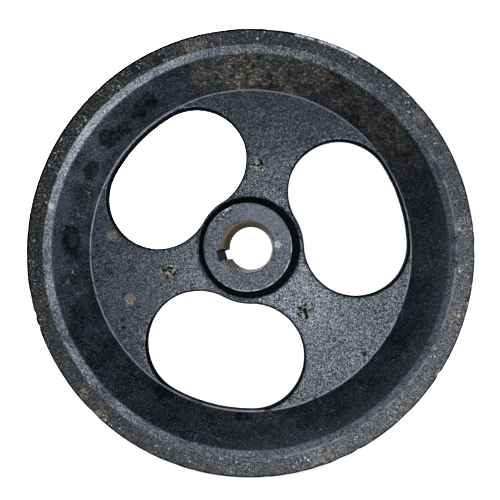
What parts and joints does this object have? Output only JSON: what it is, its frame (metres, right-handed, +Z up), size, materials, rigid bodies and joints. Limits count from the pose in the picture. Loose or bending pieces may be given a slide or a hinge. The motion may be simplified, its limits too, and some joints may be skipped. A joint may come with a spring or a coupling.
{
  "type": "belt drive wheel",
  "caption": "Heavy grooved drive wheel for a potter's wheel: dished rim, web with kidney-shaped windows, keyed hub held by set screws.",
  "frame": {"origin": "middle of the bore, which is also the middle of the wheel", "axes": "the bore runs along Y and the front face looks towards -Y; Z is up and X is to the right as seen from the front"},
  "size_m": [0.248, 0.064, 0.248],
  "materials": {
    "rim_paint": "semi-gloss blue-black paint over a turned casting, worn on its edges",
    "web_paint": "semi-gloss blue-black paint over a rough casting",
    "hub_metal": "thinly painted turned metal with a rusty bore",
    "weld_paint": "black paint",
    "seam_paint": "worn paint",
    "broken_iron": "rough broken iron",
    "black_oxide": "black oxide"
  },
  "bodies": {
    "wheel": {"belt_rim": "rim_paint", "web_plate": "web_paint", "hub": "hub_metal", "hub_weld_front": "weld_paint", "hub_weld_rear": "weld_paint", "rim_weld_front": "seam_paint", "rim_weld_rear": "weld_paint", "arm_gate_stubs": "broken_iron"},
    "keyway_screw": {"keyway_set_screw": "black_oxide"},
    "side_screw": {"side_set_screw": "black_oxide"}
  },
  "joints": [
    {"name": "keyway_screw_travel", "type": "slide", "parent": "wheel", "child": "keyway_screw", "axis": [0.9583, 0, 0.2857], "range_m": [-0.005, 0.003]},
    {"name": "side_screw_travel", "type": "slide", "parent": "wheel", "child": "side_screw", "axis": [-0.2857, 0, 0.9583], "range_m": [-0.005, 0.002]}
  ]
}
